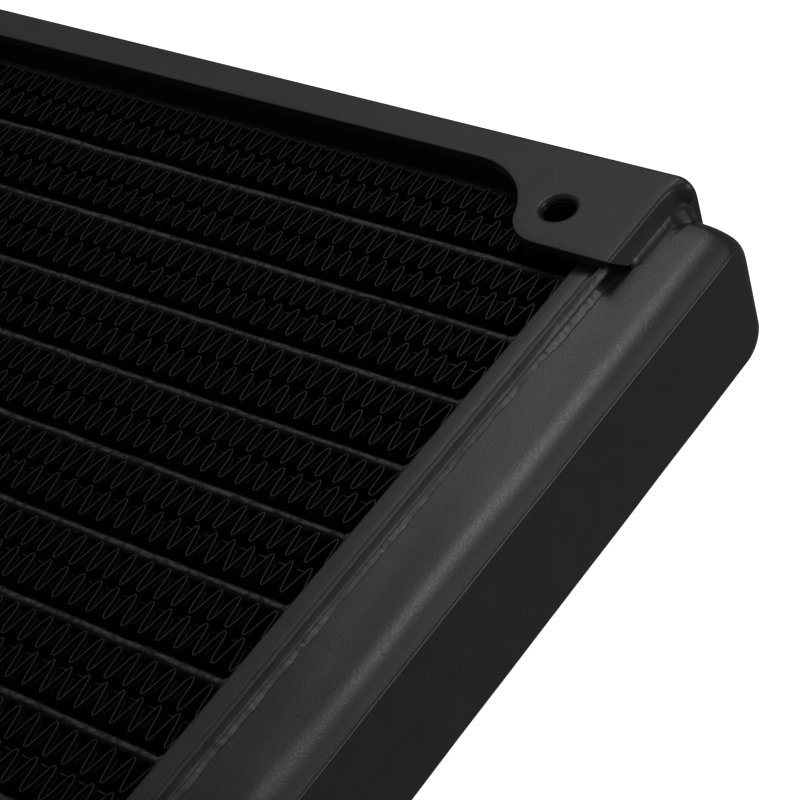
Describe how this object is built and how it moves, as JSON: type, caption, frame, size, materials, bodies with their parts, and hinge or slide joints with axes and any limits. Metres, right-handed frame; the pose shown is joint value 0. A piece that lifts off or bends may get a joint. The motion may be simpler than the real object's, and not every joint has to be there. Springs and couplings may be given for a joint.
{
  "type": "liquid cooling radiator",
  "caption": "Slim black liquid cooling radiator: flat tubes and folded fins between two tanks, held by tabbed side rails for fans.",
  "frame": {"origin": "centre of the radiator's outline on the face that it lies on", "axes": "+X along the length, from the port tank to the return tank; +Y across the width; +Z through the thickness, out of the face that has the ports"},
  "size_m": [0.2756, 0.1208, 0.0204],
  "materials": {
    "coated_brass": "fine satin black powder coat on brass",
    "coated_steel": "fine satin black powder coat on sheet steel",
    "coated_copper": "thin satin black coat on copper foil",
    "port_brass": "satin black coat on turned brass",
    "bare_brass": "plain rolled brass"
  },
  "bodies": {
    "root": {"return_tank": "coated_brass", "port_tank": "coated_brass", "inlet_port_boss": "port_brass", "outlet_port_boss": "port_brass", "flow_partition": "bare_brass", "return_header_plate": "coated_brass", "port_header_plate": "coated_brass", "side_rail_left": "coated_steel", "side_rail_right": "coated_steel", "core_side_plate_left": "coated_steel", "core_side_plate_right": "coated_steel", "flat_tube_01": "coated_brass", "flat_tube_02": "coated_brass", "flat_tube_03": "coated_brass", "flat_tube_04": "coated_brass", "flat_tube_05": "coated_brass", "flat_tube_06": "coated_brass", "flat_tube_07": "coated_brass", "flat_tube_08": "coated_brass", "flat_tube_09": "coated_brass", "flat_tube_10": "coated_brass", "flat_tube_11": "coated_brass", "flat_tube_12": "coated_brass", "fin_strip_01a": "coated_copper", "fin_strip_01b": "coated_copper", "fin_strip_02a": "coated_copper", "fin_strip_02b": "coated_copper", "fin_strip_03a": "coated_copper", "fin_strip_03b": "coated_copper", "fin_strip_04a": "coated_copper", "fin_strip_04b": "coated_copper", "fin_strip_05a": "coated_copper", "fin_strip_05b": "coated_copper", "fin_strip_06a": "coated_copper", "fin_strip_06b": "coated_copper", "fin_strip_07a": "coated_copper", "fin_strip_07b": "coated_copper", "fin_strip_08a": "coated_copper", "fin_strip_08b": "coated_copper", "fin_strip_09a": "coated_copper", "fin_strip_09b": "coated_copper", "fin_strip_10a": "coated_copper", "fin_strip_10b": "coated_copper", "fin_strip_11a": "coated_copper", "fin_strip_11b": "coated_copper", "fin_strip_12a": "coated_copper", "fin_strip_12b": "coated_copper", "fin_strip_13a": "coated_copper", "fin_strip_13b": "coated_copper"}
  },
  "joints": []
}
